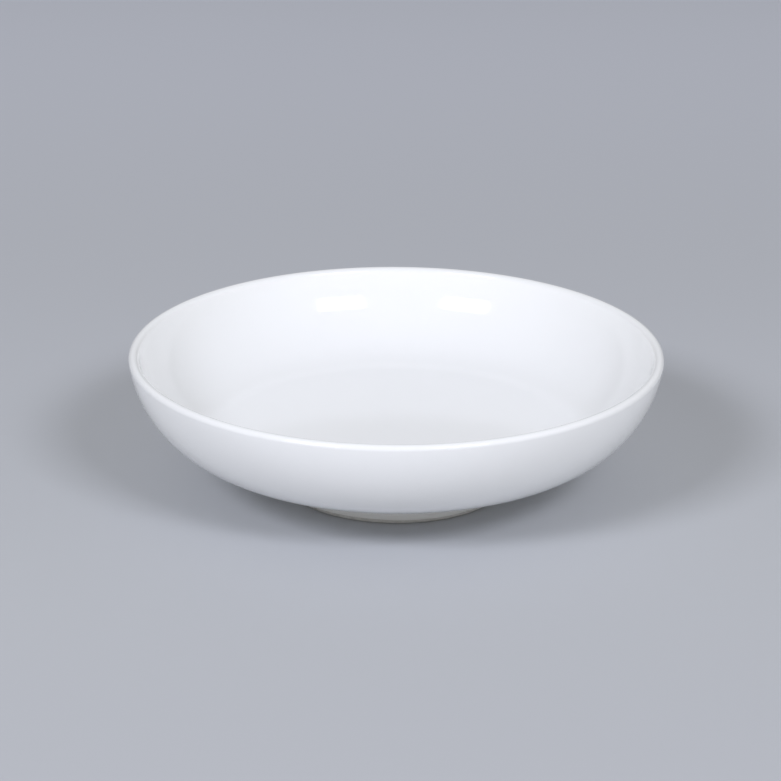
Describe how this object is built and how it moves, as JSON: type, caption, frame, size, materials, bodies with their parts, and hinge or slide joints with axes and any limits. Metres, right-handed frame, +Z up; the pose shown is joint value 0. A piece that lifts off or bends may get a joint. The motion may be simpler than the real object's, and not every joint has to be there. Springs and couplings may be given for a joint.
{
  "type": "soy sauce dish",
  "caption": "Small round white porcelain dipping dish with a rounded lip, a bellied wall, a gently hollow floor and a low turned foot ring, under a clear glossy glaze.",
  "frame": {"origin": "centre of the foot ring's standing plane, on the table under the middle of the dish", "axes": "+Z up along the dish's axis of revolution; X and Y are equal, because the dish is round"},
  "size_m": [0.1, 0.1, 0.0266],
  "materials": {
    "bare_porcelain": "fired, unglazed, fine and matt, slightly rubbed where it stands",
    "clear_glaze": "glossy clear glaze over white porcelain, faintly cool white",
    "recess_glaze": "the same glossy clear glaze inside the foot ring, a little thicker in the corner"
  },
  "bodies": {
    "root": {"porcelain_body": "bare_porcelain", "glaze_coat": "clear_glaze", "foot_recess_glaze": "recess_glaze"}
  },
  "joints": []
}
